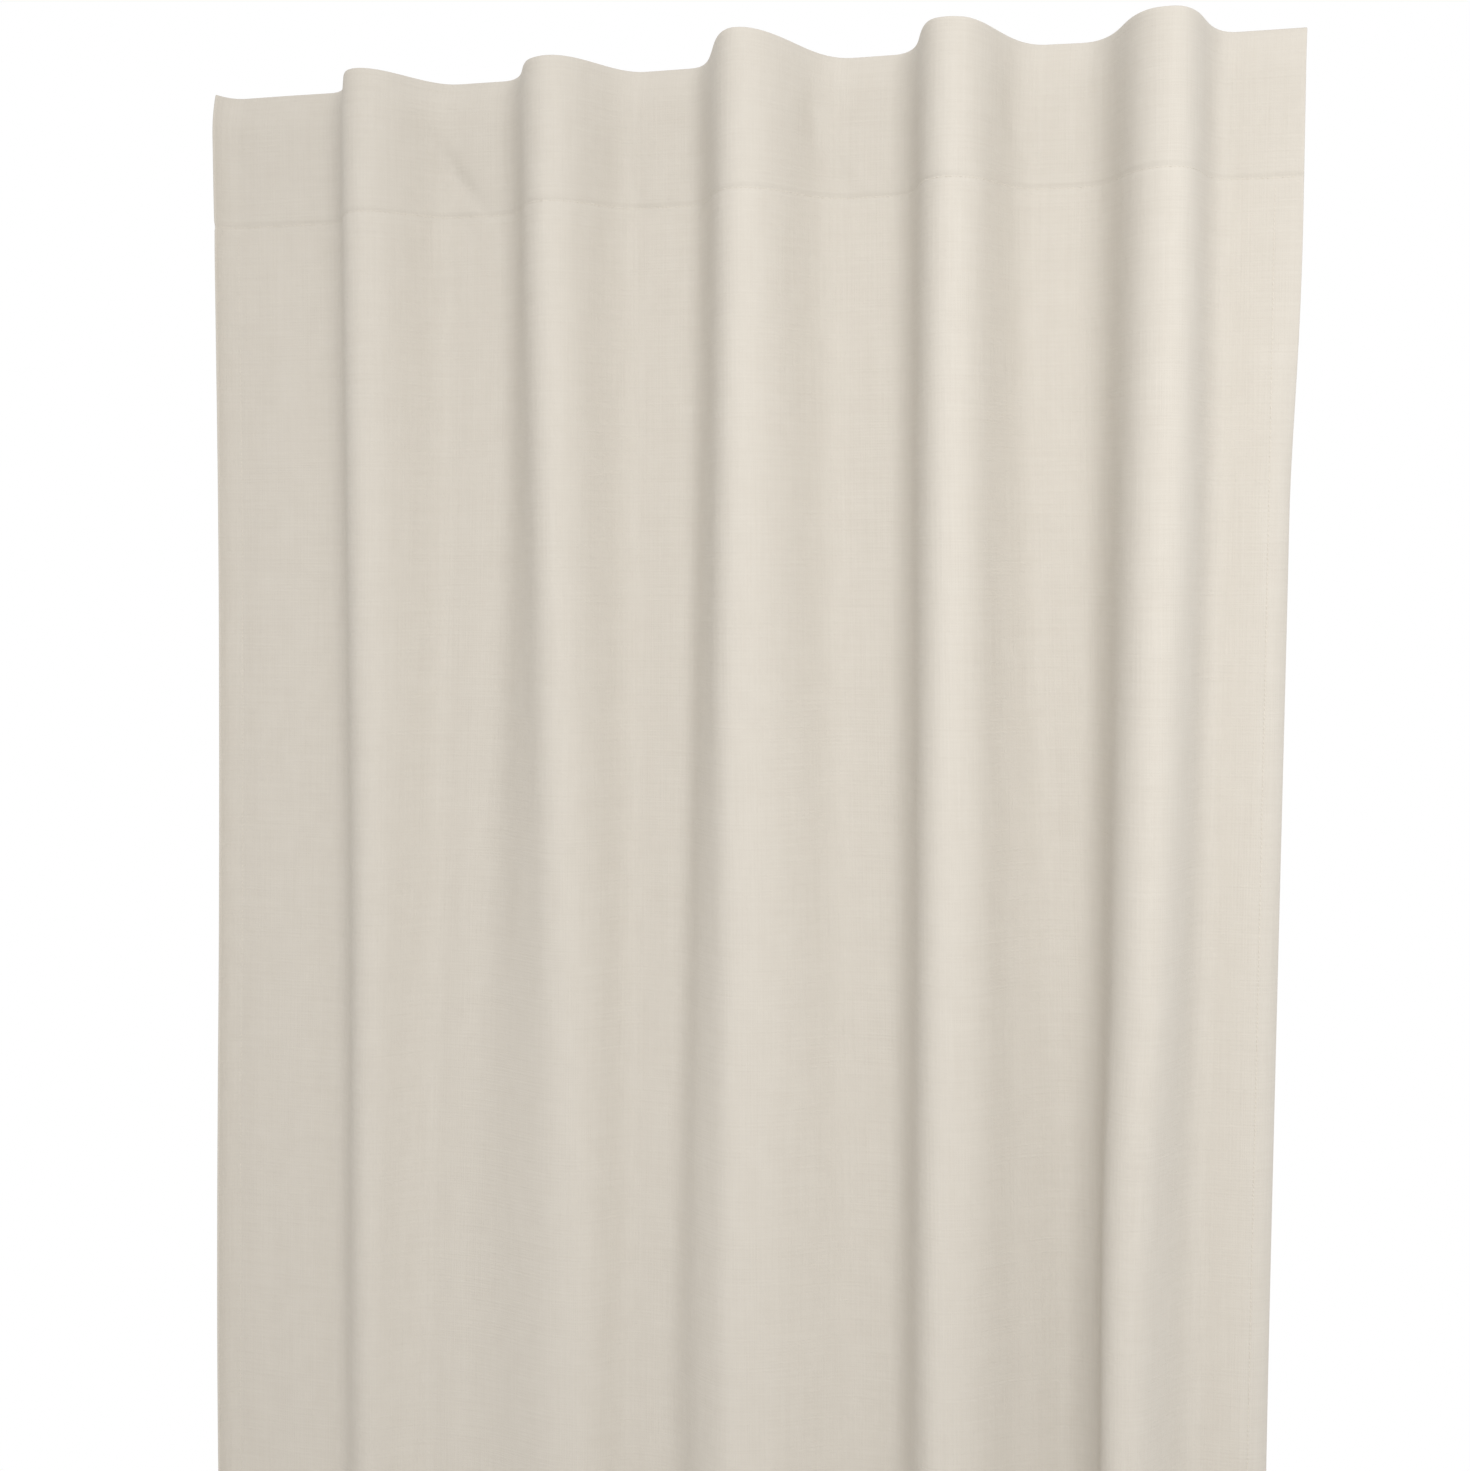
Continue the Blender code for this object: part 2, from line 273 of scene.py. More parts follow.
dice = np.random.default_rng(11)
RIPPLE_LENGTHS = (0.150, 0.110, 0.083, 0.061, 0.047, 0.036)
for length in RIPPLE_LENGTHS:
    strength = RIPPLE_TURN * (length / RIPPLE_LENGTHS[0]) ** 0.35
    phase, wander, phase_2 = dice.uniform(0, 2 * np.pi, 3)
    sway = 0.8 * np.sin(down_grid * 2 * np.pi / dice.uniform(0.9, 2.2) + wander)
    swell = 0.55 + 0.45 * np.sin(run_grid * 2 * np.pi / dice.uniform(0.3, 0.7) + phase_2 + sway)
    loose = 0.25 + 0.75 * ease(down_grid, 0.09, 0.40)
    turns += strength * loose * swell * np.sin(run_grid * 2 * np.pi / length + phase + sway)

step = runs[1] - runs[0]
middle_turns = (turns[:, 1:] + turns[:, :-1]) / 2
across = np.zeros_like(turns)
depth = np.zeros_like(turns)
across[:, 1:] = np.cumsum(np.cos(middle_turns), axis=1) * step
depth[:, 1:] = np.cumsum(np.sin(middle_turns), axis=1) * step

# Each row is shifted so that the cloth at each loop stays where the loop, or gravity, holds it.
for row, down in enumerate(downs):
    low_down = ease(down, *LOOSENS)
    middles = hung_middles + np.array(DRIFTS) * low_down
    fallen = -np.array(FALLS_BACK) * ease(down, *FALLS)
    across_miss = middles - np.interp(loop_runs, runs, across[row])
    depth_miss = fallen - np.interp(loop_runs, runs, depth[row])
    across[row] += np.interp(runs, loop_runs, across_miss)
    depth[row] += np.interp(runs, loop_runs, depth_miss)

# The header: crests stand up a little, flats lean back over the rod, the seam draws the cloth in.
deepness = np.clip(depth / DEEP, 0.0, 1.0)
lifts = np.interp(runs, (np.array(loop_runs[1:]) + loop_runs[:-1]) / 2, CREST_LIFTS)
lift = lifts * deepness * np.exp(-down_grid / 0.05)
lean = FLAT_LEAN * (1 - deepness) * np.clip(1 - down_grid / 0.030, 0.0, 1.0) ** 2
seam_groove = SEAM_SUNK * np.exp(-(((down_grid - stitch_down) / SEAM_WIDE) ** 2))
hem_groove = HEM_SUNK * np.exp(-(((down_grid - hem_down - STITCH_INSET) / HEM_WIDE) ** 2))
pucker = np.zeros_like(turns)
for length in (0.0145, 0.0105, 0.024):
    wave = np.sin(run_grid * 2 * np.pi / length + dice.uniform(0, 2 * np.pi))
    pucker += PUCKER_DEPTH * wave * (0.6 + 0.4 * np.sin(run_grid * 2 * np.pi / 0.13 + length * 900))
pucker *= np.exp(-(((down_grid - HEADER_DEPTH) / 0.014) ** 2))

# Creases that the loops' seams pull into the header, and three in the left margin: how far along and
# down their middle is, how they slant and bend, half their length, their width and their depth.
for along, below, slant, bend, reach, wide, sunk in (
    (loop_runs[1] - 0.024, 0.052, 0.75, 2.0, 0.030, 0.010, 0.0040),
    (loop_runs[1] - 0.004, 0.076, 0.90, -4.0, 0.014, 0.005, 0.0020),
    (loop_runs[2] - 0.028, 0.060, 0.10, 6.0, 0.030, 0.012, 0.0028),
    (loop_runs[3] - 0.034, 0.050, 0.25, 9.0, 0.026, 0.009, 0.0042),
    (loop_runs[3] - 0.010, 0.082, 0.10, -9.0, 0.016, 0.0035, 0.0018),
    (loop_runs[4] - 0.034, 0.048, 0.20, 8.0, 0.026, 0.009, 0.0040),
    (loop_runs[4] - 0.012, 0.068, 0.00, 4.0, 0.014, 0.004, 0.0015),
    (loop_runs[5] - 0.020, 0.055, 0.20, 7.0, 0.024, 0.010, 0.0024),
    (0.028, 0.160, -0.60, 0.0, 0.022, 0.004, 0.0014),
    (0.034, 0.215, -0.35, 3.0, 0.030, 0.005, 0.0012),
    (0.022, 0.330, -0.25, 0.0, 0.040, 0.006, 0.0010),
):
    line = along + slant * (down_grid - below) + bend * (down_grid - below) ** 2
    near = ((run_grid - line) / wide) ** 2 + ((down_grid - below) / reach) ** 2
    pucker += sunk * np.exp(-near)

surface_y = face_y - depth + lean + seam_groove + hem_groove + pucker
surface = np.stack([across, surface_y, top - down_grid + lift], -1)


def sample(field, run, down):
    """A field on the cloth's own grid, read between its points."""
    across_at = np.clip(np.interp(run, runs, np.arange(len(runs))), 0, len(runs) - 1.001)
    down_at = np.clip(np.interp(down, downs, np.arange(len(downs))), 0, len(downs) - 1.001)
    column, row = across_at.astype(int), down_at.astype(int)
    u, v = (across_at - column)[..., None], (down_at - row)[..., None]
    upper = field[row, column] * (1 - u) + field[row, column + 1] * u
    lower = field[row + 1, column] * (1 - u) + field[row + 1, column + 1] * u
    return upper * (1 - v) + lower * v


by_row = np.gradient(surface, downs, axis=0)
by_column = np.gradient(surface, runs, axis=1)
normals = np.cross(by_column, by_row)
normals /= np.linalg.norm(normals, axis=-1, keepdims=True)


def cloth_points(run, down, back):
    """Where the cloth is at those runs and downs, moved towards its back."""
    run, down, back = np.broadcast_arrays(
        np.asarray(run, float), np.asarray(down, float), np.asarray(back, float)
    )
    return sample(surface, run, down) + back[..., None] * sample(normals, run, down)


def add_sheet(name, places, flat_places, thick, material):
    """A sheet of cloth through rows of points, with its flat places, in metres, as its UV map."""
    rows, columns = places.shape[:2]
    shape = bmesh.new()
    made = bmesh.ops.create_grid(shape, x_segments=columns - 1, y_segments=rows - 1, size=1.0)
    flat_map = shape.loops.layers.uv.new("flat cloth")
    found = {}
    for vertex in made["verts"]:
        column = round((vertex.co.x + 1) / 2 * (columns - 1))
        row = rows - 1 - round((vertex.co.y + 1) / 2 * (rows - 1))
        found[vertex.index] = (row, column)
        vertex.co = places[row, column]
    for face in shape.faces:
        face.smooth = True
        for corner in face.loops:
            row, column = found[corner.vert.index]
            corner[flat_map].uv = flat_places[row, column]
    mesh = bpy.data.meshes.new(name)
    shape.to_mesh(mesh)
    shape.free()
    mesh.materials.append(material)
    sheet = bpy.data.objects.new(name, mesh)
    scene.collection.objects.link(sheet)
    body = sheet.modifiers.new("cloth thickness", "SOLIDIFY")
    body.thickness = thick
    body.offset = 0.0
    return sheet


def add_node(material, kind, **settings):
    node = material.node_tree.nodes.new(kind)
    for key, value in settings.items():
        setattr(node, key, value)
    return node


def math_node(material, operation, first, second=None, clamp=False):
    node = add_node(material, "ShaderNodeMath", operation=operation, use_clamp=clamp)
    for socket, value in zip(node.inputs, (first, second)):
        if isinstance(value, bpy.types.NodeSocket):
            material.node_tree.links.new(value, socket)
        elif value is not None:
            socket.default_value = value
    return node.outputs[0]


def streaks(material, flat, scale, detail):
    """Noise over the flat cloth, stretched by a scale along and across it."""
    links = material.node_tree.links
    stretch = add_node(material, "ShaderNodeMapping")
    stretch.inputs["Scale"].default_value = (*scale, 1.0)
    links.new(flat, stretch.inputs["Vector"])
    noise = add_node(material, "ShaderNodeTexNoise", noise_dimensions="2D")
    noise.inputs["Scale"].default_value = 1.0
    noise.inputs["Detail"].default_value = detail
    links.new(stretch.outputs["Vector"], noise.inputs["Vector"])
    return noise.outputs["Fac"]


def blend_colours(material, share, first, second):
    node = add_node(material, "ShaderNodeMix", data_type="RGBA")
    material.node_tree.links.new(share, node.inputs["Factor"])
    for socket, value in zip((node.inputs[6], node.inputs[7]), (first, second)):
        if isinstance(value, bpy.types.NodeSocket):
            material.node_tree.links.new(value, socket)
        else:
            socket.default_value = (*value, 1.0)
    return node.outputs[2]


def make_weave(name, light, dark, thread, slub, height, through):
    """Plain weave: threads of that width over and under, slubs both ways, some light let through."""
    material = bpy.data.materials.new(name)
    material.use_nodes = True
    links = material.node_tree.links
    shader = material.node_tree.nodes["Principled BSDF"]
    flat = add_node(material, "ShaderNodeUVMap", uv_map="flat cloth").outputs["UV"]
    apart = add_node(material, "ShaderNodeSeparateXYZ")
    links.new(flat, apart.inputs[0])
    turn = math.pi / thread
    warp = math_node(material, "SINE", math_node(material, "MULTIPLY", apart.outputs[0], turn))
    weft = math_node(material, "SINE", math_node(material, "MULTIPLY", apart.outputs[1], turn))
    crossing = math_node(material, "MULTIPLY", warp, weft)
    over = math_node(material, "MULTIPLY_ADD", crossing, 1.6, clamp=True)
    over.node.inputs[2].default_value = 0.5
    warp_round = math_node(material, "ABSOLUTE", warp)
    weft_round = math_node(material, "ABSOLUTE", weft)
    under = math_node(material, "SUBTRACT", 1.0, over)
    weave = math_node(
        material,
        "ADD",
        math_node(material, "MULTIPLY", warp_round, over),
        math_node(material, "MULTIPLY", weft_round, under),
    )
    weft_slubs = streaks(material, flat, (16.0, 700.0), 2.0)
    warp_slubs = streaks(material, flat, (800.0, 11.0), 2.0)
    mottle = streaks(material, flat, (60.0, 45.0), 3.0)
    slubs = math_node(material, "ADD", weft_slubs, warp_slubs)
    raised = math_node(
        material,
        "ADD",
        math_node(material, "MULTIPLY", slubs, slub),
        math_node(material, "MULTIPLY", weave, 0.35),
    )
    bump = add_node(material, "ShaderNodeBump")
    bump.inputs["Strength"].default_value = 1.0
    bump.inputs["Distance"].default_value = height
    links.new(raised, bump.inputs["Height"])
    links.new(bump.outputs["Normal"], shader.inputs["Normal"])
    shade = math_node(material, "MULTIPLY", slubs, 0.35)
    shade = math_node(material, "ADD", shade, math_node(material, "MULTIPLY", mottle, 0.30))
    colour = blend_colours(material, shade, dark, light)
    links.new(colour, shader.inputs["Base Color"])
    rough = math_node(material, "MULTIPLY", weave, -0.12)
    links.new(math_node(material, "ADD", rough, 0.95), shader.inputs["Roughness"])
    shader.inputs["Sheen Weight"].default_value = 0.12
    shader.inputs["Sheen Roughness"].default_value = 0.45
    shader.inputs["Specular IOR Level"].default_value = 0.25
    if through:
        lit_through = add_node(material, "ShaderNodeBsdfTranslucent")
        links.new(colour, lit_through.inputs["Color"])
        both = add_node(material, "ShaderNodeMixShader")
        both.inputs["Fac"].default_value = through
        links.new(shader.outputs[0], both.inputs[1])
        links.new(lit_through.outputs[0], both.inputs[2])
        links.new(both.outputs[0], material.node_tree.nodes["Material Output"].inputs["Surface"])
    return material


face_cloth = make_weave(
    "slubbed plain weave",
    light=(0.680, 0.648, 0.590),
    dark=(0.590, 0.552, 0.492),
    thread=0.0006,
    slub=0.9,
    height=0.00020,
    through=0.12,
)

# The face cloth's edges roll round to the layer behind them.
ROLL_STEPS = 4
roll = LAYER_BACK / 2
angles = np.linspace(math.pi / 2, -math.pi / 2, ROLL_STEPS + 1)
rolled_edge = roll - roll * np.cos(angles)
rolled_back = roll + roll * np.sin(angles)
FACE_COLUMNS = 250
face_runs = np.concatenate(
    [
        rolled_edge,
        np.linspace(0.002, FLAT_WIDTH - 0.002, FACE_COLUMNS),
        FLAT_WIDTH - rolled_edge[::-1],
    ]
)
face_downs = np.concatenate([rolled_edge, downs[1:-1], CLOTH_LENGTH - rolled_edge[::-1]])
back_by_column = np.concatenate([rolled_back, np.zeros(FACE_COLUMNS), rolled_back[::-1]])
back_by_row = np.concatenate([rolled_back, np.zeros(len(downs) - 2), rolled_back[::-1]])
run_at, down_at = np.meshgrid(face_runs, face_downs)
back_at = np.maximum(back_by_column[None, :], back_by_row[:, None])
face_panel = add_sheet(
    "curtain_face",
    cloth_points(run_at, down_at, back_at),
    np.stack([run_at, -down_at], axis=-1),
    CLOTH_THICK,
    face_cloth,
)
FIRST_LOOP = (loop_middles[0], 0.0, 0.0)
LAST_LOOP = (loop_middles[-1], 0.0, 0.0)


def gather(piece, body):
    """Hangs the piece from its body, and gives it a mesh of its own."""
    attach(piece, body)
    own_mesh(piece)


gather(face_panel, "panel")
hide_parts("face_panel")


# Header facing
# The top of the same cloth, turned over to the back and sewn down along the seam under the header.
# Its raw edge is tucked in, so it ends in a small round fold.

TUCK = 0.0002  # radius of a tucked edge
TUCK_STEPS = 4
tuck_angles = np.linspace(0.0, math.pi, TUCK_STEPS + 1)


def tucked(edge, back):
    """A row of places that goes round a tucked edge, as how far along and how far back."""
    return edge - TUCK + TUCK * np.sin(tuck_angles), back - TUCK + TUCK * np.cos(tuck_angles)


inner_runs = face_runs[ROLL_STEPS // 2 : -(ROLL_STEPS // 2)]
tuck_down, tuck_back = tucked(HEADER_DEPTH, LAYER_BACK)
flat_downs = downs[(downs > roll) & (downs < HEADER_DEPTH - 2 * TUCK)]
facing_downs = np.concatenate([[roll], flat_downs, tuck_down])
facing_backs = np.concatenate([np.full(len(flat_downs) + 1, LAYER_BACK), tuck_back])
run_at, down_at = np.meshgrid(inner_runs, facing_downs)
header_facing = add_sheet(
    "header_facing_cloth",
    cloth_points(run_at, down_at, facing_backs[:, None]),
    np.stack([run_at, down_at], axis=-1),
    CLOTH_THICK,
    face_cloth,
)
gather(header_facing, "panel")
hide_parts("header_facing")


# Heading tape
# A close woven cotton tape, sewn over the facing from side to side. It carries the loops and keeps
# the header from stretching. Its own upper row of stitches holds the facing only.

TAPE_THICK = 0.0010
TAPE_BACK = LAYER_BACK + (CLOTH_THICK + TAPE_THICK) / 2 + 0.0001
TAPE_INSET = 0.012  # from the cloth's side edges to the tape's cut ends
tape_low, tape_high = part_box("heading_tape")
tape_top, tape_bottom = top - tape_high.z, top - tape_low.z

tape_cotton = make_weave(
    "cotton tape",
    light=(0.740, 0.715, 0.655),
    dark=(0.630, 0.605, 0.545),
    thread=0.0011,
    slub=0.25,
    height=0.00035,
    through=0.0,
)
tape_runs = np.linspace(TAPE_INSET, FLAT_WIDTH - TAPE_INSET, FACE_COLUMNS)
tape_downs = downs[(downs > tape_top) & (downs < tape_bottom)]
tape_downs = np.concatenate([[tape_top], tape_downs, [tape_bottom]])
run_at, down_at = np.meshgrid(tape_runs, tape_downs)
heading_tape = add_sheet(
    "heading_tape_cotton",
    cloth_points(run_at, down_at, TAPE_BACK),
    np.stack([run_at, down_at], axis=-1),
    TAPE_THICK,
    tape_cotton,
)
gather(heading_tape, "panel")
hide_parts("heading_tape")


# Rod loops
# Six straps of the same tape. Each is sewn to the heading tape above the rod, goes over the rod and
# down behind it, and is sewn again at the foot of the header. Two straight rows of stitches at each
# end.

LOOP_BACK = TAPE_BACK + TAPE_THICK + 0.0002
LOOP_COLUMNS = 9
LOOP_SEAM = 0.008  # how much of a strap lies on the tape at each end
LOOP_SAG = 0.003
RING_START, RING_END = 118, -52  # degrees round the rod, where 90 is its top and 0 its back
loop_low, loop_high = loop_boxes[0]
loop_radius = loop_high.y - TAPE_THICK / 2
upper_seam = top - loop_high.z
lower_seam = top - loop_low.z - LOOP_SEAM
body_of_loop = ["panel", "loop_2", "loop_3", "loop_4", "loop_5", "leading_edge"]
for number, run in enumerate(loop_runs):
    offsets = np.linspace(-loop_width / 2, loop_width / 2, LOOP_COLUMNS)
    upper_downs = np.linspace(upper_seam, upper_seam + LOOP_SEAM - 0.001, 4)
    upper = cloth_points(run + offsets, upper_downs[:, None], LOOP_BACK)
    lower_downs = np.linspace(lower_seam, lower_seam + LOOP_SEAM, 5)
    lower = cloth_points(run + offsets, lower_downs[:, None], LOOP_BACK)
    around = np.radians(np.linspace(RING_START, RING_END, 15))
    slack = dice.uniform(0.0, 0.0008, 2)
    ring_y = (loop_radius + slack[0] * np.sin(around / 2)) * np.cos(around)
    ring_z = loop_radius * np.sin(around)
    sag = LOOP_SAG + slack[1]
    rows = list(upper)
    for y, z in zip(ring_y, ring_z):
        row = upper[-1].copy()
        row[:, 1], row[:, 2] = y, z
        rows.append(row)
    for share in np.linspace(0, 1, 9)[1:-1]:
        row = rows[len(upper) + len(around) - 1] * (1 - share) + lower[0] * share
        row[:, 2] -= sag * math.sin(math.pi * share)
        row[:, 1] += sag * 0.6 * math.sin(math.pi * share)
        rows.append(row)
    rows += list(lower)
    places = np.array(rows)
    lengths = np.linalg.norm(np.diff(places[:, LOOP_COLUMNS // 2], axis=0), axis=1)
    along = np.concatenate([[0.0], np.cumsum(lengths)])
    flat_at = np.stack(np.meshgrid(offsets, along), axis=-1)
    strap = add_sheet(f"rod_loop_{number + 1}", places, flat_at, TAPE_THICK, tape_cotton)
    smooth = strap.modifiers.new("soft strap", "SUBSURF")
    smooth.levels = smooth.render_levels = 1
    strap.modifiers.move(1, 0)
    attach(strap, body_of_loop[number])
    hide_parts(f"tab_{number + 1}")


# Side hems
# The cloth's side edges, turned over twice to the back, so the inner edge is a fold and stands up a
# little where the tucked layer lies under it. The right one goes with the last loop.

SIDE_HEM = 0.022
HEM_RISE = 0.0005  # how much a tucked layer lifts the cloth over it
side_tuck, side_back = tucked(SIDE_HEM, LAYER_BACK + HEM_RISE)
hem_runs = np.concatenate([[roll], np.linspace(0.003, SIDE_HEM - 0.001, 8), side_tuck])
hem_backs = LAYER_BACK + HEM_RISE * ease(hem_runs, 0.006, 0.014)
hem_backs[-len(side_back) :] = side_back
side_downs = downs[(downs > HEADER_DEPTH) & (downs < hem_down)]
run_at, down_at = np.meshgrid(hem_runs, side_downs)
for name, body, anchor, turned in (
    ("left_side_hem", "panel", FIRST_LOOP, run_at),
    ("right_side_hem", "leading_edge", LAST_LOOP, (FLAT_WIDTH - run_at)[:, ::-1]),
):
    backs = hem_backs if body == "panel" else hem_backs[::-1]
    hem = add_sheet(
        name + "_cloth",
        cloth_points(turned, down_at, backs[None, :]),
        np.stack([turned, -down_at], axis=-1),
        CLOTH_THICK,
        face_cloth,
    )
    gather(hem, body)
    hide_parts(name)


# Bottom hem
# The foot of the same cloth, turned up 80 mm to the back and sewn, with its raw edge tucked in. It
# gives the panel weight at the bottom.

foot_tuck, foot_back = tucked(HEM_DEPTH, LAYER_BACK + HEM_RISE)
foot_heights = np.concatenate(
    [
        [roll],
        np.linspace(0.004, HEM_DEPTH - 0.014, 5),
        np.linspace(HEM_DEPTH - 0.011, HEM_DEPTH - 0.001, 6),
        foot_tuck,
    ]
)
foot_backs = LAYER_BACK + HEM_RISE * ease(foot_heights, HEM_DEPTH - 0.016, HEM_DEPTH - 0.008)
foot_backs[-len(foot_back) :] = foot_back
run_at, height_at = np.meshgrid(inner_runs, foot_heights[::-1])
bottom_hem = add_sheet(
    "bottom_hem_cloth",
    cloth_points(run_at, CLOTH_LENGTH - height_at, foot_backs[::-1][:, None]),
    np.stack([run_at, height_at], axis=-1),
    CLOTH_THICK,
    face_cloth,
)
gather(bottom_hem, "panel")
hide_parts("bottom_hem")


# Sewing
# Lockstitched rows in matching spun thread: separate short stitches, each pulled a little into the
# cloth, with the same row on the front and on the back.

STITCH_PITCH = 0.0032
THREAD_RADIUS = 0.00028


def make_thread():
    material = bpy.data.materials.new("spun thread")
    material.use_nodes = True
    shader = material.node_tree.nodes["Principled BSDF"]
    coordinates = add_node(material, "ShaderNodeTexCoord")
    twist = add_node(material, "ShaderNodeTexNoise")
    twist.inputs["Scale"].default_value = 2600.0
    material.node_tree.links.new(coordinates.outputs["Object"], twist.inputs["Vector"])
    colour = blend_colours(material, twist.outputs["Fac"], (0.56, 0.52, 0.45), (0.70, 0.66, 0.59))
    material.node_tree.links.new(colour, shader.inputs["Base Color"])
    shader.inputs["Roughness"].default_value = 0.55
    shader.inputs["Sheen Weight"].default_value = 0.2
    return material


spun_thread = make_thread()

THREAD_SIDES = 6
POINTS_PER_STITCH = 5
HOLE_DEPTH = 0.0006  # how far the thread dips at a needle hole
stitch_bulge = np.sin(np.pi * np.arange(POINTS_PER_STITCH) / POINTS_PER_STITCH) ** 0.6
around_thread = np.linspace(0.0, 2 * np.pi, THREAD_SIDES + 1)
cos_round, sin_round = np.cos(around_thread)[:, None, None], np.sin(around_thread)[:, None, None]


def thread_line(from_place, to_place, back, out):
    """One row's thread: its middle line, which dips into the cloth at each hole, and its radii."""
    length = max(abs(to_place[0] - from_place[0]), abs(to_place[1] - from_place[1]))
    stitches = int(length / STITCH_PITCH)
    bulges = np.append(np.tile(stitch_bulge, stitches), 0.0)
    share = np.linspace(0.0, 1.0, len(bulges))
    at_run = from_place[0] + (to_place[0] - from_place[0]) * share
    at_down = from_place[1] + (to_place[1] - from_place[1]) * share
    middles = cloth_points(at_run, at_down, back - out * HOLE_DEPTH * (1 - bulges))
    return middles, THREAD_RADIUS * (0.15 + 0.85 * bulges)


def sew(name, rows):
    """Rows of stitches in one piece, each row a thread through its middle line with its radii."""
    shape = bmesh.new()
    for middles, radii in rows:
        radii[0] = radii[-1] = 0.0
        along = np.gradient(middles, axis=0)
        along /= np.linalg.norm(along, axis=1, keepdims=True)
        side = np.cross(along, (0.0, 1.0, 0.0))
        side /= np.linalg.norm(side, axis=1, keepdims=True)
        outward = np.cross(side, along)
        ring = cos_round * side + sin_round * outward
        places = (middles + radii[:, None] * ring).transpose(1, 0, 2)
        made = bmesh.ops.create_grid(
            shape, x_segments=THREAD_SIDES, y_segments=len(middles) - 1, size=1.0
        )
        for vertex in made["verts"]:
            column = round((vertex.co.x + 1) / 2 * THREAD_SIDES)
            row = round((vertex.co.y + 1) / 2 * (len(middles) - 1))
            vertex.co = places[row, column]
    bmesh.ops.remove_doubles(shape, verts=shape.verts, dist=1e-7)
    bmesh.ops.recalc_face_normals(shape, faces=shape.faces)
    for face in shape.faces:
        face.smooth = True
    mesh = bpy.data.meshes.new(name)
    shape.to_mesh(mesh)
    shape.free()
    mesh.materials.append(spun_thread)
    piece = bpy.data.objects.new(name, mesh)
    scene.collection.objects.link(piece)
    return piece


BEDDED = THREAD_RADIUS * 0.3  # from the cloth's surface to the middle of the thread on it
ON_FRONT = -CLOTH_THICK / 2 - BEDDED
ON_TAPE = TAPE_BACK + TAPE_THICK / 2 + BEDDED
ON_HEM = LAYER_BACK + HEM_RISE + CLOTH_THICK / 2 + BEDDED
ON_LOOP = LOOP_BACK + TAPE_THICK / 2 + BEDDED
ENDS = 0.005  # from a row's ends to the cloth's edges

foot_row = hem_down + STITCH_INSET
left_row, right_row = SIDE_HEM - STITCH_INSET, FLAT_WIDTH - SIDE_HEM + STITCH_INSET
side_top, side_foot = HEADER_DEPTH + 0.002, hem_down - STITCH_PITCH
tape_left, tape_right = TAPE_INSET + 0.001, FLAT_WIDTH - TAPE_INSET - 0.001
tape_row = tape_top + 0.003


def both_sides(start, end, back):
    """The same row on the front of the face cloth and on the layer at the back."""
    return [thread_line(start, end, ON_FRONT, -1), thread_line(start, end, back, 1)]


for name, body, anchor, rows in (
    (
        "header_stitching",
        "panel",
        FIRST_LOOP,
        [
            thread_line((ENDS, stitch_down), (FLAT_WIDTH - ENDS, stitch_down), ON_FRONT, -1),
            thread_line((tape_left, stitch_down), (tape_right, stitch_down), ON_TAPE, 1),
            thread_line((tape_left, tape_row), (tape_right, tape_row), ON_TAPE, 1),
        ],
    ),
    (
        "bottom_hem_stitching",
        "panel",
        FIRST_LOOP,
        both_sides((ENDS, foot_row), (FLAT_WIDTH - ENDS, foot_row), ON_HEM),
    ),
    (
        "left_hem_stitching",
        "panel",
        FIRST_LOOP,
        both_sides((left_row, side_top), (left_row, side_foot), ON_HEM),
    ),
    (
        "right_hem_stitching",
        "leading_edge",
        LAST_LOOP,
        both_sides((right_row, side_top), (right_row, side_foot), ON_HEM),
    ),
):
    stitches = sew(name.replace("stitching", "stitches"), rows)
    gather(stitches, body)
    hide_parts(name)

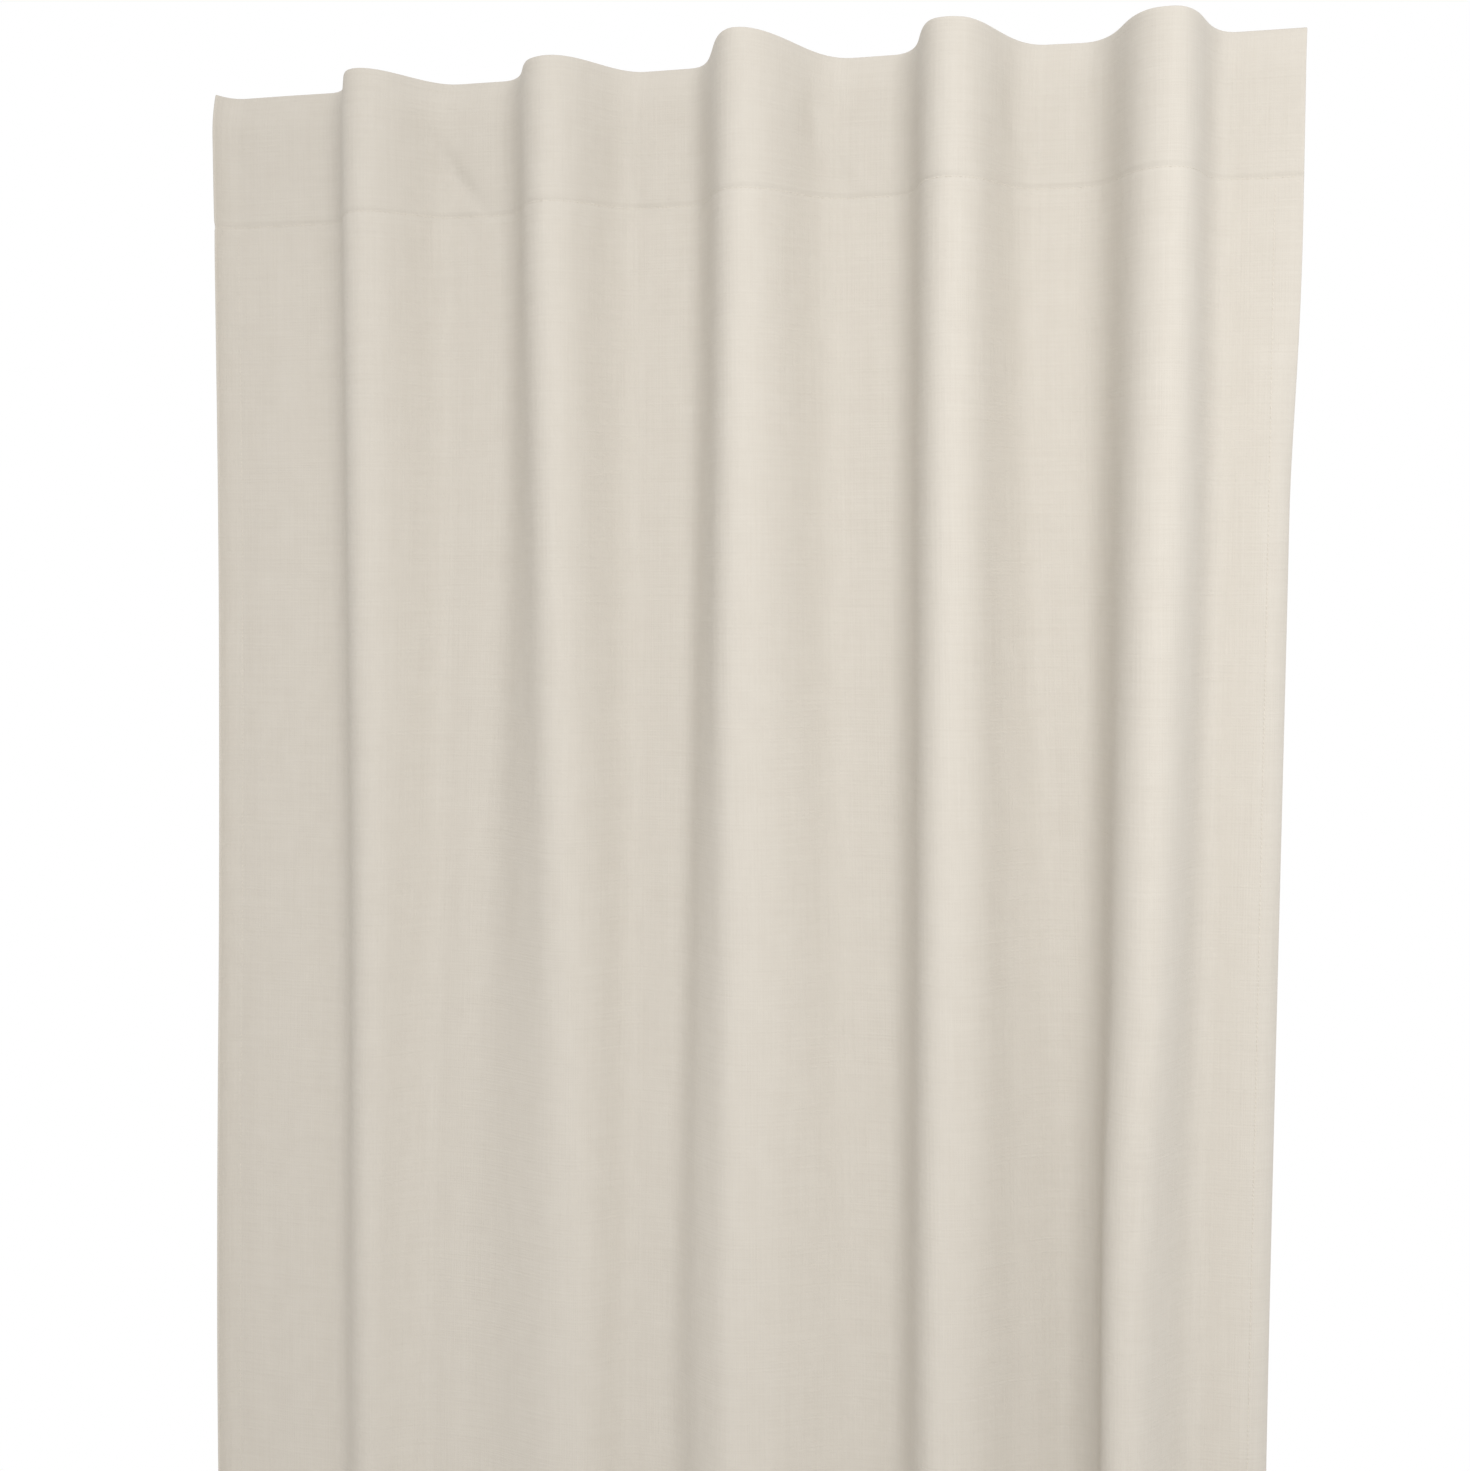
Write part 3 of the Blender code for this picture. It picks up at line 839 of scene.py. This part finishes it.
for number, run in enumerate(loop_runs):
    left, right = run - loop_width / 2 + 0.002, run + loop_width / 2 - 0.002
    rows = [
        thread_line((left, down), (right, down), ON_LOOP, 1)
        for seam in (upper_seam, lower_seam)
        for down in (seam + 0.0015, seam + LOOP_SEAM - 0.0025)
    ]
    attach(sew(f"rod_loop_stitches_{number + 1}", rows), body_of_loop[number])


# Care label
# A blank satin ribbon, sewn by its upper edge to the left side hem on the back, with its lower end
# free and curling off the cloth.

LABEL_THICK = 0.0003
LABEL_CURL = 0.005
label_low, label_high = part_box("care_label")
label_back = LAYER_BACK + HEM_RISE + (CLOTH_THICK + LABEL_THICK) / 2 + 0.0001
label_half = 0.015  # half its width
label_runs = np.linspace(SIDE_HEM - label_half, SIDE_HEM + label_half, 9)
label_downs = np.linspace(top - label_high.z, top - label_low.z, 17)


def make_satin():
    material = bpy.data.materials.new("label satin")
    material.use_nodes = True
    shader = material.node_tree.nodes["Principled BSDF"]
    flat = add_node(material, "ShaderNodeUVMap", uv_map="flat cloth").outputs["UV"]
    floats = streaks(material, flat, (4000.0, 250.0), 1.0)
    colour = blend_colours(material, floats, (0.76, 0.75, 0.72), (0.88, 0.88, 0.86))
    material.node_tree.links.new(colour, shader.inputs["Base Color"])
    bump = add_node(material, "ShaderNodeBump")
    bump.inputs["Distance"].default_value = 0.00005
    material.node_tree.links.new(floats, bump.inputs["Height"])
    material.node_tree.links.new(bump.outputs["Normal"], shader.inputs["Normal"])
    shader.inputs["Roughness"].default_value = 0.38
    shader.inputs["Sheen Weight"].default_value = 0.1
    return material


run_at, down_at = np.meshgrid(label_runs, label_downs)
hung = (down_at - label_downs[0]) / (label_downs[-1] - label_downs[0])
label = add_sheet(
    "blank_label",
    cloth_points(run_at, down_at, label_back + LABEL_CURL * ease(hung, 0.15, 1.6)),
    np.stack([run_at, -down_at], axis=-1),
    LABEL_THICK,
    make_satin(),
)
gather(label, "panel")
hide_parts("care_label")
label_row = label_downs[0] + 0.002
label_left, label_right = label_runs[0] + 0.001, label_runs[-1] - 0.001
ON_LABEL = label_back + 0.0003
label_stitches = sew(
    "label_stitches",
    [thread_line((label_left, label_row), (label_right, label_row), ON_LABEL, 1)],
)
gather(label_stitches, "panel")
